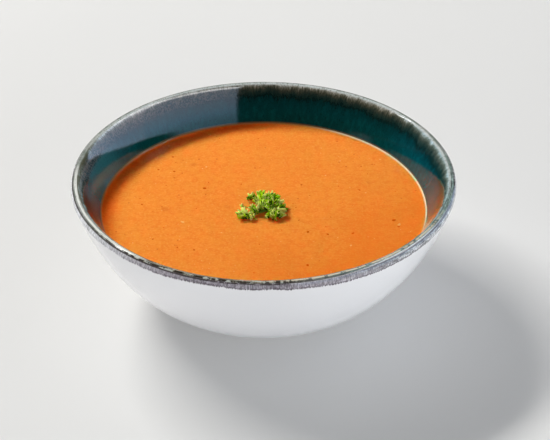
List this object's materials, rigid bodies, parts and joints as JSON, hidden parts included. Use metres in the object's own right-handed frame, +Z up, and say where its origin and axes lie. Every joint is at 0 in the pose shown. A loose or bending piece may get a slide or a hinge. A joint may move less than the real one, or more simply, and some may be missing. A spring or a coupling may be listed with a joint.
{
  "type": "bowl of tomato soup",
  "caption": "Round footed stoneware bowl filled with smooth tomato soup, with a small sprig of curly parsley lying on it.",
  "frame": {"origin": "centre of the foot ring's underside, on the surface that the bowl stands on", "axes": "+Z up along the bowl's axis of turning; the camera's side, where the sprig's stalk end faces, is -Y"},
  "size_m": [0.17, 0.17, 0.06],
  "materials": {
    "bowl_glaze": "glossy white outside, running dark teal glaze inside, pale speckled lip",
    "tomato_soup": "smooth wet opaque orange, fine specks",
    "parsley_green": "curled fresh leaf"
  },
  "bodies": {
    "root": {"bowl": "bowl_glaze", "soup": "tomato_soup", "parsley": "parsley_green"}
  },
  "joints": []
}
